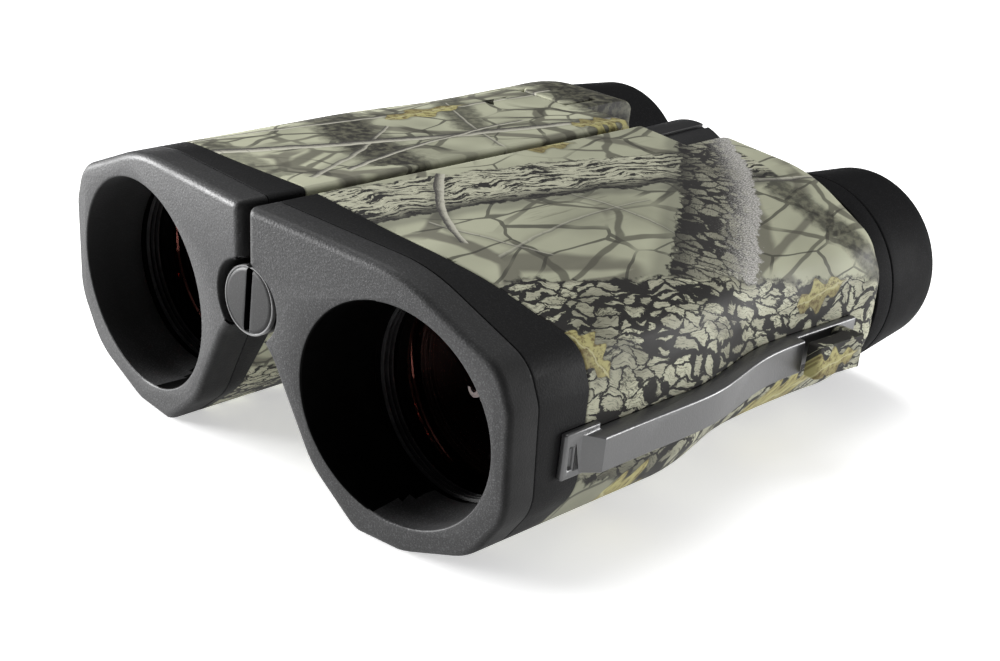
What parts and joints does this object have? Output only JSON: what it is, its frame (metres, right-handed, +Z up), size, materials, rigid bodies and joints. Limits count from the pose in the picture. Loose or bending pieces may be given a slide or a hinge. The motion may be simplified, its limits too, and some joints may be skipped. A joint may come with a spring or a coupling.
{
  "type": "laser rangefinder binocular",
  "caption": "Laser rangefinder binocular with two hinged telescope halves, centre focus wheel, twist-up eyecups, battery cap and side strap bars.",
  "frame": {"origin": "under the middle of the hinge, on the surface that the binocular rests on", "axes": "+Y from the objectives to the eyepieces, +X to the user's left half, +Z up"},
  "size_m": [0.1332, 0.1562, 0.0579],
  "materials": {
    "printed_shell": "camouflage film under satin lacquer",
    "black_polymer": "fine satin grain",
    "black_rubber": "matt",
    "satin_plastic": "satin",
    "grey_polymer": "satin",
    "coated_glass": "multi-coated",
    "black_alloy": "matt black anodised",
    "aluminium": "turned",
    "brass": "turned",
    "steel": "plain",
    "nickel": "plated",
    "board_green": "lacquered"
  },
  "bodies": {
    "left_half": {"battery_cell": "nickel", "battery_tube": "aluminium", "contact_spring": "steel", "focus_bush": "brass", "laser_board": "board_green", "laser_diode": "nickel", "left_bar_screws": "steel", "left_barrel": "black_alloy", "left_collar": "black_polymer", "left_eye_lens": "coated_glass", "left_eyecup_base": "satin_plastic", "left_eyepiece_tube": "black_alloy", "left_field_lens": "coated_glass", "left_front_cap": "black_polymer", "left_housing": "printed_shell", "left_lens_retainer": "black_alloy", "left_objective_lens": "coated_glass", "left_prism": "coated_glass", "left_prism_cage": "black_alloy", "left_strap_bar": "black_polymer", "left_strap_lug": "printed_shell"},
    "right_half": {"laser_receiver": "nickel", "mode_switch": "satin_plastic", "range_display": "coated_glass", "range_switch": "satin_plastic", "right_bar_screws": "steel", "right_barrel": "black_alloy", "right_collar": "black_polymer", "right_eye_lens": "coated_glass", "right_eyepiece_tube": "black_alloy", "right_field_lens": "coated_glass", "right_front_cap": "black_polymer", "right_housing": "printed_shell", "right_lens_retainer": "black_alloy", "right_objective_lens": "coated_glass", "right_prism": "coated_glass", "right_prism_cage": "black_alloy", "right_strap_bar": "black_polymer", "right_strap_lug": "printed_shell", "switch_board": "board_green"},
    "battery_cap_body": {"battery_cap": "grey_polymer"},
    "cap_seal_body": {"cap_seal": "black_rubber"},
    "diopter_body": {"diopter_ring": "satin_plastic"},
    "focus_wheel_body": {"focus_spindle": "steel", "focus_wheel_grip": "black_rubber", "focus_wheel_hub": "satin_plastic"},
    "focus_yoke_body": {"focus_yoke": "brass"},
    "left_eyecup_body": {"left_eyecup": "black_rubber"},
    "left_glide_body": {"left_eyecup_glide": "satin_plastic"},
    "left_focus_body": {"left_focus_cell": "black_alloy", "left_focus_lens": "coated_glass"},
    "mode_button_body": {"mode_button": "printed_shell"},
    "range_button_body": {"range_button": "printed_shell"},
    "right_eyecup_body": {"right_eyecup": "black_rubber"},
    "right_glide_body": {"right_eyecup_glide": "satin_plastic"},
    "right_focus_body": {"right_focus_cell": "black_alloy", "right_focus_lens": "coated_glass"}
  },
  "joints": [
    {"name": "eye_spacing_hinge", "type": "hinge", "parent": "left_half", "child": "right_half", "pos_m": [0, -0.07615, 0.0381], "axis": [0, -1, 0], "range_deg": [0, 52]},
    {"name": "focus_turn", "type": "hinge", "parent": "left_half", "child": "focus_wheel_body", "pos_m": [0, -0.07615, 0.0381], "axis": [0, 1, 0], "range_deg": [-200, 200]},
    {"name": "focus_yoke_slide", "type": "slide", "parent": "left_half", "child": "focus_yoke_body", "axis": [0, 1, 0], "range_m": [-0.003, 0.003]},
    {"name": "left_focus_slide", "type": "slide", "parent": "left_half", "child": "left_focus_body", "axis": [0, 1, 0], "range_m": [-0.003, 0.003]},
    {"name": "right_focus_slide", "type": "slide", "parent": "right_half", "child": "right_focus_body", "axis": [0, 1, 0], "range_m": [-0.003, 0.003]},
    {"name": "diopter_turn", "type": "hinge", "parent": "right_half", "child": "diopter_body", "pos_m": [-0.0366, -0.07615, 0.0277], "axis": [0, 1, 0], "range_deg": [-60, 60]},
    {"name": "cap_thread_slide", "type": "slide", "parent": "left_half", "child": "cap_seal_body", "axis": [0, -1, 0], "range_m": [0, 0.003]},
    {"name": "cap_turn", "type": "hinge", "parent": "cap_seal_body", "child": "battery_cap_body", "pos_m": [0, -0.07615, 0.0381], "axis": [0, -1, 0], "range_deg": [0, 1080]},
    {"name": "range_press", "type": "slide", "parent": "right_half", "child": "range_button_body", "axis": [0, 0, -1], "range_m": [0, 0.0005], "stiffness_N_per_m": 1200, "springref_m": -0.0003},
    {"name": "mode_press", "type": "slide", "parent": "right_half", "child": "mode_button_body", "axis": [0, 0, -1], "range_m": [0, 0.0005], "stiffness_N_per_m": 1200, "springref_m": -0.0003},
    {"name": "left_glide_slide", "type": "slide", "parent": "left_half", "child": "left_glide_body", "axis": [0, 1, 0], "range_m": [0, 0.008]},
    {"name": "left_eyecup_turn", "type": "hinge", "parent": "left_glide_body", "child": "left_eyecup_body", "pos_m": [0.0366, -0.07615, 0.0277], "axis": [0, 1, 0], "range_deg": [0, 180]},
    {"name": "right_glide_slide", "type": "slide", "parent": "right_half", "child": "right_glide_body", "axis": [0, 1, 0], "range_m": [0, 0.008]},
    {"name": "right_eyecup_turn", "type": "hinge", "parent": "right_glide_body", "child": "right_eyecup_body", "pos_m": [-0.0366, -0.07615, 0.0277], "axis": [0, 1, 0], "range_deg": [0, 180]}
  ],
  "couplings": [
    {"joint": "focus_turn", "follows": "focus_yoke_slide", "rad_per_m": 1163.5},
    {"joint": "left_focus_slide", "follows": "focus_yoke_slide", "ratio": 1},
    {"joint": "right_focus_slide", "follows": "focus_yoke_slide", "ratio": 1},
    {"joint": "cap_turn", "follows": "cap_thread_slide", "rad_per_m": 6283.1},
    {"joint": "left_eyecup_turn", "follows": "left_glide_slide", "rad_per_m": 392.69},
    {"joint": "right_eyecup_turn", "follows": "right_glide_slide", "rad_per_m": 392.69}
  ]
}
